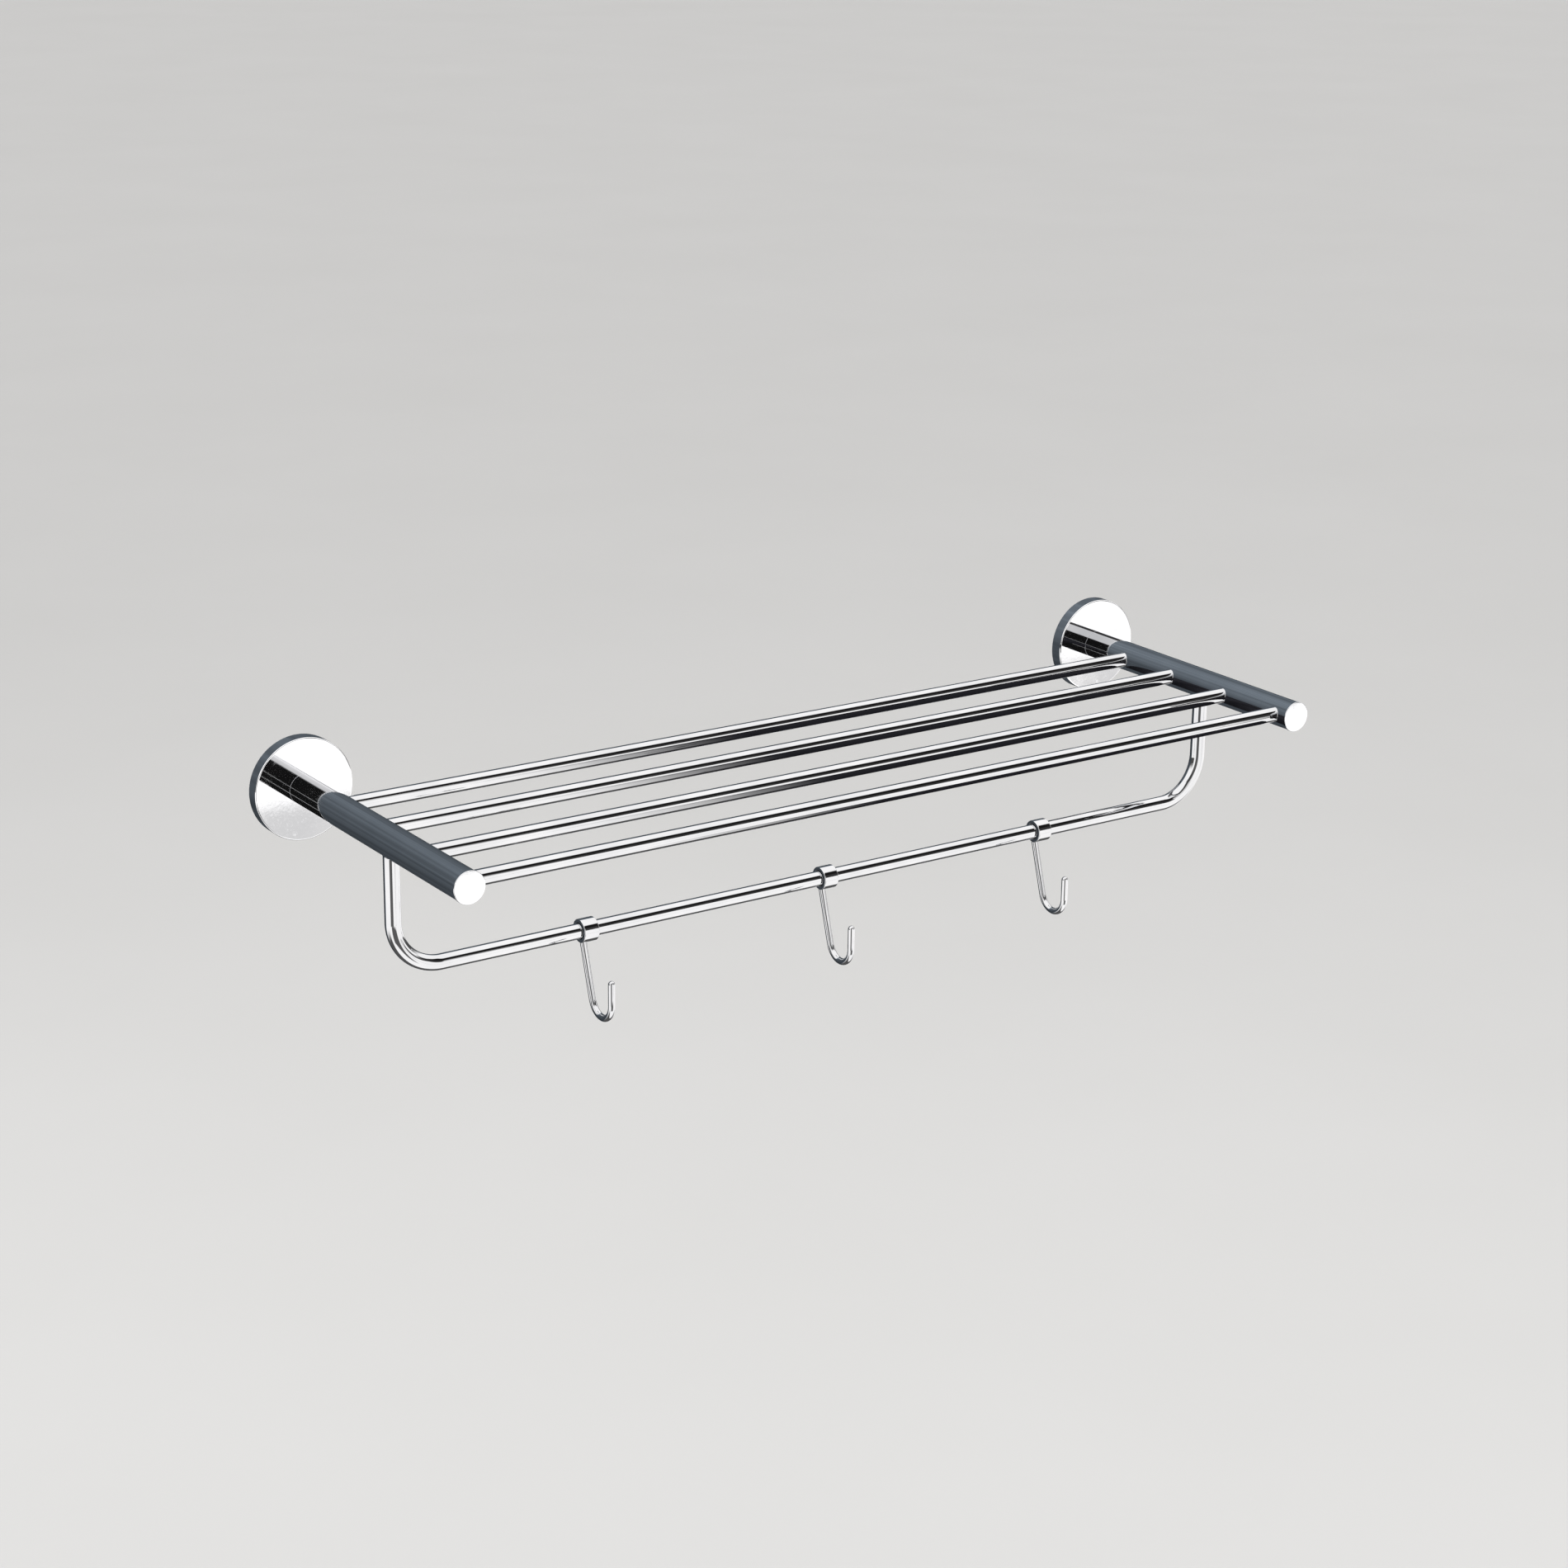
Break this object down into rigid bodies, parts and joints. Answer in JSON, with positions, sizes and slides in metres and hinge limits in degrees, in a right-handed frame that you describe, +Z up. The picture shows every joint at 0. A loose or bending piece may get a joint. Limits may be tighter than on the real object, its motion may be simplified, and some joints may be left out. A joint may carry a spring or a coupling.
{
  "type": "towel rack",
  "caption": "Wall-mounted chrome towel shelf: round rails between two arms on round flanges, a U-shaped towel bar below and sliding J hooks on it.",
  "frame": {"origin": "on the wall plane, midway between the two flanges, at the height of the arms' axes", "axes": "+Z up, +X along the rack towards the right-hand flange, +Y into the wall; the rack stands out towards -Y"},
  "size_m": [0.663, 0.23, 0.1626],
  "materials": {
    "flange_chrome": "bright mirror chrome plate on turned and pressed parts",
    "tube_chrome": "bright mirror chrome plate on drawn tube, with faint lengthwise polishing lines",
    "hook_chrome": "bright chrome plate on ring and bent wire",
    "stainless_steel": "plain stainless fasteners with machining marks",
    "die_cast_zinc": "dull grey as-cast zinc with a fine grain",
    "plug_nylon": "natural grey nylon, slightly waxy",
    "liner_nylon": "black moulded nylon"
  },
  "bodies": {
    "rack": {"left_flange": "flange_chrome", "left_arm": "tube_chrome", "left_end_cap": "flange_chrome", "left_arm_plug": "die_cast_zinc", "left_arm_screw": "stainless_steel", "left_wall_bracket": "die_cast_zinc", "left_set_screw": "stainless_steel", "left_wall_screw_upper": "stainless_steel", "left_wall_plug_upper": "plug_nylon", "left_wall_screw_lower": "stainless_steel", "left_wall_plug_lower": "plug_nylon", "right_flange": "flange_chrome", "right_arm": "tube_chrome", "right_end_cap": "flange_chrome", "right_arm_plug": "die_cast_zinc", "right_arm_screw": "stainless_steel", "right_wall_bracket": "die_cast_zinc", "right_set_screw": "stainless_steel", "right_wall_screw_upper": "stainless_steel", "right_wall_plug_upper": "plug_nylon", "right_wall_screw_lower": "stainless_steel", "right_wall_plug_lower": "plug_nylon", "shelf_rail_1": "tube_chrome", "shelf_rail_2": "tube_chrome", "shelf_rail_3": "tube_chrome", "shelf_rail_4": "tube_chrome", "towel_bar": "tube_chrome"},
    "hook_1_slider": {"hook_1_liner": "liner_nylon"},
    "hook_1": {"hook_1_ring": "hook_chrome", "hook_1_wire": "hook_chrome"},
    "hook_2_slider": {"hook_2_liner": "liner_nylon"},
    "hook_2": {"hook_2_ring": "hook_chrome", "hook_2_wire": "hook_chrome"},
    "hook_3_slider": {"hook_3_liner": "liner_nylon"},
    "hook_3": {"hook_3_ring": "hook_chrome", "hook_3_wire": "hook_chrome"}
  },
  "joints": [
    {"name": "hook_1_slide", "type": "slide", "parent": "rack", "child": "hook_1_slider", "axis": [1, 0, 0], "range_m": [-0.091, 0.08]},
    {"name": "hook_1_turn", "type": "hinge", "parent": "hook_1_slider", "child": "hook_1", "pos_m": [-0.173, -0.118, -0.079], "axis": [-1, 0, 0], "continuous": true},
    {"name": "hook_2_slide", "type": "slide", "parent": "rack", "child": "hook_2_slider", "axis": [1, 0, 0], "range_m": [-0.08, 0.078]},
    {"name": "hook_2_turn", "type": "hinge", "parent": "hook_2_slider", "child": "hook_2", "pos_m": [-0.001, -0.118, -0.079], "axis": [-1, 0, 0], "continuous": true},
    {"name": "hook_3_slide", "type": "slide", "parent": "rack", "child": "hook_3_slider", "axis": [1, 0, 0], "range_m": [-0.078, 0.097]},
    {"name": "hook_3_turn", "type": "hinge", "parent": "hook_3_slider", "child": "hook_3", "pos_m": [0.167, -0.118, -0.079], "axis": [-1, 0, 0], "continuous": true}
  ]
}
